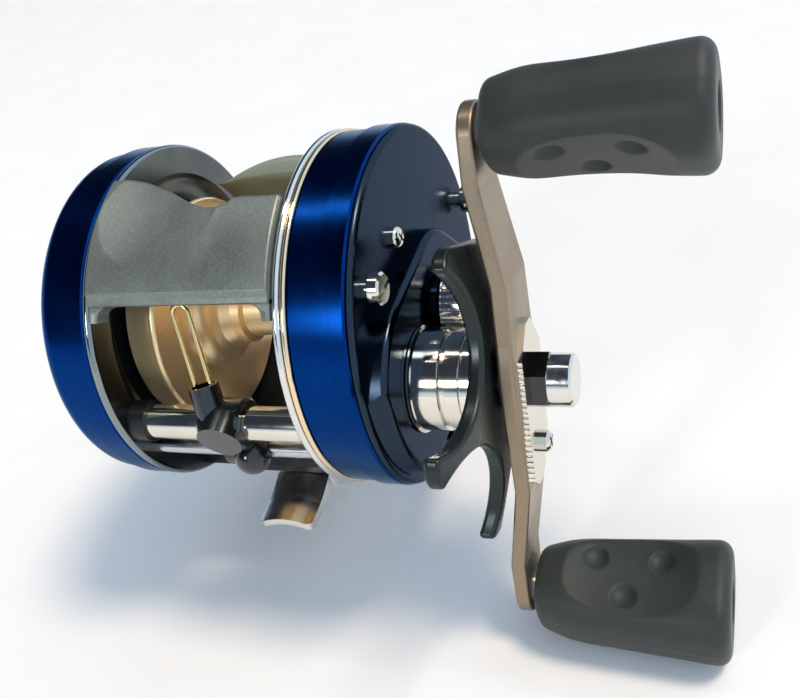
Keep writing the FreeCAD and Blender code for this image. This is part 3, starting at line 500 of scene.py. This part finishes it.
# ---------------------------------------------------------------- thumb rest
# in mm and in degrees about the spool axis
REST_R = 27.0                   # outer face
REST_INNER_R = 25.32
LIP_INNER_R = 23.95             # the lower edge is rolled inwards to here
REST_BOTTOM = 144.8
REST_TOP = 108.1                # upper edge where the wave is level
WAVE_R = 26.2
WAVE = [(-16.0, 2.4), (-9.5, 2.3), (-5.0, 0.6), (0.0, -2.2), (3.9, -3.3), (7.4, -2.2), (10.5, -2.2),
        (16.0, -2.4)]           # x, and height of the upper edge at WAVE_R
HOLLOW_X = -6.0
HOLLOW_ANGLE = 115.5
HOLLOW_REACH = (7.7, 10.5, 8.8)  # to the left, to the right, round the axis
HOLLOW_DEPTH = 0.95
STEP_X = 6.3                    # crease to the right of the hollow, at STEP_ANGLE
STEP_ANGLE = 116
STEP_REACH = 4.2
STEP_DEPTH = 0.42
LEG_END = 149.6
END_ROUND = 0.12                # the first and last sections are this much smaller


def rest_relief(x, angle):
    """How far the outer face is sunk, in mm: the thumb hollow and the step beside it."""
    left, right, round_axis = HOLLOW_REACH
    arc = math.radians(angle - HOLLOW_ANGLE) * REST_R
    inside = ((x - HOLLOW_X) / (left if x < HOLLOW_X else right)) ** 2 + (arc / round_axis) ** 2
    sunk = HOLLOW_DEPTH * (1 - inside) if inside < 1 else 0.0
    crease = STEP_X - 0.075 * (angle - STEP_ANGLE)
    if x < crease:
        fade = min(1.0, max(0.0, (138 - angle) / 12))
        sunk += STEP_DEPTH * math.exp(-((crease - x) / STEP_REACH) ** 2) * fade
    return sunk


def thumb_rest(materials):
    """Curved bridge with a wavy upper edge and a rolled lower lip, and a short leg at each end."""
    low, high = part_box("thumb_rest")
    left, right = (low.x - SPOOL.x) / MM, (high.x - SPOOL.x) / MM
    bridge = []
    steps, rows = 150, 72
    for n in range(steps + 1):
        x = left + (right - left) * n / steps
        top = REST_TOP - math.degrees(math.asin(smooth_curve(WAVE, x) / WAVE_R))
        edge = END_ROUND if n in (0, steps) else 0.0
        profile = [(LIP_INNER_R, 141.7), (24.0 + edge, REST_BOTTOM - 0.3), (24.3, REST_BOTTOM - 0.05),
                   (26.2 - edge, REST_BOTTOM - 0.05), (26.45 - edge, REST_BOTTOM - 0.35),
                   (26.5 - edge, 143.4), (26.55 - edge, 142.6), (26.8 - edge, 141.9)]
        for k in range(rows):
            angle = 141.2 + (top + 1.0 - 141.2) * k / (rows - 1)
            profile.append((REST_R - 0.03 - rest_relief(x, angle) - edge, angle))
        rim_r = REST_R - rest_relief(x, top + 1.0)
        profile += [(rim_r - 0.12 - edge, top + 0.45), (rim_r - 0.4 - edge, top + 0.08), (rim_r - 0.7, top),
                    (25.5, top), (REST_INNER_R, top + 0.5), (REST_INNER_R, 141.4), (25.1, 141.7)]
        bridge.append([polar_place(x, radius, angle) for radius, angle in profile])
    solids = [bridge]
    for start, way in ((left, 1), (right, -1)):
        leg = []
        for k in range(25):
            angle = 143.6 + (LEG_END - 143.6) * k / 24
            wide = 1.25 + 1.7 * math.exp(-max(angle - 144.6, 0.0) / 1.2)
            corners = [(0.0, 23.6), (0.0, 26.0), (0.25, 26.2), (wide - 0.45, 26.2), (wide - 0.1, 26.0),
                       (wide, 25.6), (wide, 23.8), (wide - 0.2, 23.6)]
            leg.append([polar_place(start + way * step, radius, angle) for step, radius in corners])
        solids.append(leg)
    hand_over(skin("thumb_rest_cover", solids, 32.0), "thumb_rest", materials)


# ---------------------------------------------------------------- thumb bar
# in mm and in degrees about the spool axis
BAR_X = 0.8                     # middle of the bar
BAR_INNER_R = 20.6
BAR_CREST_R = 25.4
BAR_CROWN_R = 17.0              # of its arch along x
BAR_ANGLE = 31.0
BAR_HALF_ANGLE = 13.8
BAR_ROUNDING = 0.62             # 1 is an ellipse, less is squarer
TAB_Y = (18.25, 20.15)
TAB_Z = (7.45, 10.35)
TAB_ENDS = ((8.0, 0.1), (8.1, 0.0), (16.9, 0.0), (17.0, 0.1))  # x, and how much it is flared


def thumb_bar(materials):
    """Crowned bar with a softly rounded section, and the tab that runs in the right ring."""
    reach = BAR_X - (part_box("thumb_bar")[0].x - SPOOL.x) / MM
    bar = []
    steps, columns = 90, 72
    for n in range(steps + 1):
        u = -1 + 2 * n / steps
        x = BAR_X + reach * math.sin(u * math.pi / 2)
        arch = math.sqrt(max(BAR_CROWN_R**2 - (x - BAR_X)**2, 0.0)) - BAR_CROWN_R + BAR_CREST_R
        rise = max(arch - BAR_INNER_R, 0.25)
        half = BAR_HALF_ANGLE * (0.94 + 0.06 * max(1 - abs(u) ** 30, 0.05))
        section = []
        for k in range(columns):
            turn = 2 * math.pi * k / columns
            c, s = math.cos(turn), math.sin(turn)
            angle = BAR_ANGLE + half * math.copysign(abs(c) ** BAR_ROUNDING, c)
            radius = BAR_INNER_R + rise / 2 + rise / 2 * math.copysign(abs(s) ** BAR_ROUNDING, s)
            section.append(polar_place(x, radius, angle))
        bar.append(section)
    tab = []
    for x, flare in TAB_ENDS:
        (y0, y1), (z0, z1) = TAB_Y, TAB_Z
        corners = ((y0 - flare, z0 - flare), (y1 + flare, z0 - flare), (y1 + flare, z1 + flare),
                   (y0 - flare, z1 + flare))
        tab.append([SPOOL + Vector((x, y, z)) * MM for y, z in corners])
    hand_over(skin("thumb_bar_cover", [bar, tab], 45.0), "thumb_bar", materials)


# ---------------------------------------------------------------- floor and light
def make_floor(height):
    """White table top at that height."""
    bm = bmesh.new()
    bmesh.ops.create_grid(bm, x_segments=8, y_segments=8, size=6.0)
    mesh = bpy.data.meshes.new("floor")
    bm.to_mesh(mesh)
    bm.free()
    floor = bpy.data.objects.new("floor", mesh)
    floor.location.z = height
    g = Graph("floor_white")
    g.colour(g.blend(g.noise(40.0), (0.90, 0.90, 0.90), (0.92, 0.92, 0.92)))
    g.set(Roughness=0.6, Specular_IOR_Level=0.2)
    mesh.materials.append(g.material)
    bpy.context.scene.collection.objects.link(floor)


def area_light(name, toward, distance, size, radiance, colour=(1, 1, 1)):
    """Soft box in a direction from the spool, its long side along X."""
    ahead = Vector(toward).normalized()
    right = (Vector((1, 0, 0)) - ahead * ahead.x).normalized()
    data = bpy.data.lights.new(name, "AREA")
    data.shape = "RECTANGLE"
    data.size, data.size_y = size
    data.energy = radiance * math.pi * size[0] * size[1]
    data.color = colour
    lamp = bpy.data.objects.new(name, data)
    turn = Matrix((right, ahead.cross(right), ahead)).transposed().to_4x4()
    lamp.matrix_world = Matrix.Translation(SPOOL + ahead * distance) @ turn
    bpy.context.scene.collection.objects.link(lamp)


def make_world():
    """Pale room with a dark arch of ceiling on the left, which polished bands mirror.

    The camera sees a plain pale backdrop in its place.
    """
    world = bpy.data.worlds.new("studio")
    world.use_nodes = True
    tree = world.node_tree
    split = tree.nodes.new("ShaderNodeSeparateXYZ")
    tree.links.new(tree.nodes.new("ShaderNodeTexCoord").outputs["Generated"], split.inputs["Vector"])

    def step(axis, start, end):
        node = tree.nodes.new("ShaderNodeMapRange")
        node.interpolation_type = "SMOOTHSTEP"
        node.inputs["From Min"].default_value = start
        node.inputs["From Max"].default_value = end
        tree.links.new(split.outputs[axis], node.inputs["Value"])
        return node.outputs["Result"]

    def product(first, second):
        node = tree.nodes.new("ShaderNodeMath")
        node.operation = "MULTIPLY"
        tree.links.new(first, node.inputs[0])
        tree.links.new(second, node.inputs[1])
        return node.outputs[0]

    arch = product(product(step("X", -1.0, -0.85), step("X", 0.05, -0.2)), step("Z", 0.06, 0.22))
    ramp = tree.nodes.new("ShaderNodeValToRGB")
    ramp.color_ramp.elements[0].color = (0.65, 0.81, 0.99, 1)
    ramp.color_ramp.elements[1].color = (0.03, 0.04, 0.06, 1)
    tree.links.new(arch, ramp.inputs["Fac"])
    room = tree.nodes["Background"]
    room.inputs["Strength"].default_value = 1.15
    tree.links.new(ramp.outputs["Color"], room.inputs["Color"])
    plain = tree.nodes.new("ShaderNodeBackground")
    plain.inputs["Color"].default_value = (0.92, 0.92, 0.92, 1)
    either = tree.nodes.new("ShaderNodeMixShader")
    path = tree.nodes.new("ShaderNodeLightPath")
    tree.links.new(path.outputs["Is Camera Ray"], either.inputs["Fac"])
    tree.links.new(room.outputs["Background"], either.inputs[1])
    tree.links.new(plain.outputs["Background"], either.inputs[2])
    tree.links.new(either.outputs["Shader"], tree.nodes["World Output"].inputs["Surface"])
    bpy.context.scene.world = world


def make_lights():
    """Warm sun from above on the crank side, a strip light overhead and a small window in front."""
    sun = bpy.data.lights.new("daylight", "SUN")
    sun.energy = 1.85
    sun.angle = math.radians(15)
    sun.color = (1.0, 0.81, 0.60)
    lamp = bpy.data.objects.new("daylight", sun)
    lamp.rotation_euler = Vector((0.40, 0.04, 0.91)).to_track_quat("Z", "Y").to_euler()
    bpy.context.scene.collection.objects.link(lamp)
    area_light("ceiling_strip", (-0.33, 0.09, 0.93), 0.9, (0.34, 0.07), 9.0, (1.0, 0.99, 0.97))
    area_light("side_window", (-0.30, -0.85, 0.42), 1.0, (0.15, 0.20), 22.0, (0.93, 0.97, 1.0))


# ---------------------------------------------------------------- the scene
materials = make_materials()
make_camera()
finish_cad_nodes(materials)
knob_piece("upper_grip", "knob_upper", UPPER_KNOB, 222.0, materials)
knob_piece("lower_grip", "knob_lower", LOWER_KNOB, 99.0, materials)
thumb_rest(materials)
thumb_bar(materials)
make_floor(cad_box[0].z)
make_lights()
make_world()
bpy.context.scene.view_settings.view_transform = "Standard"
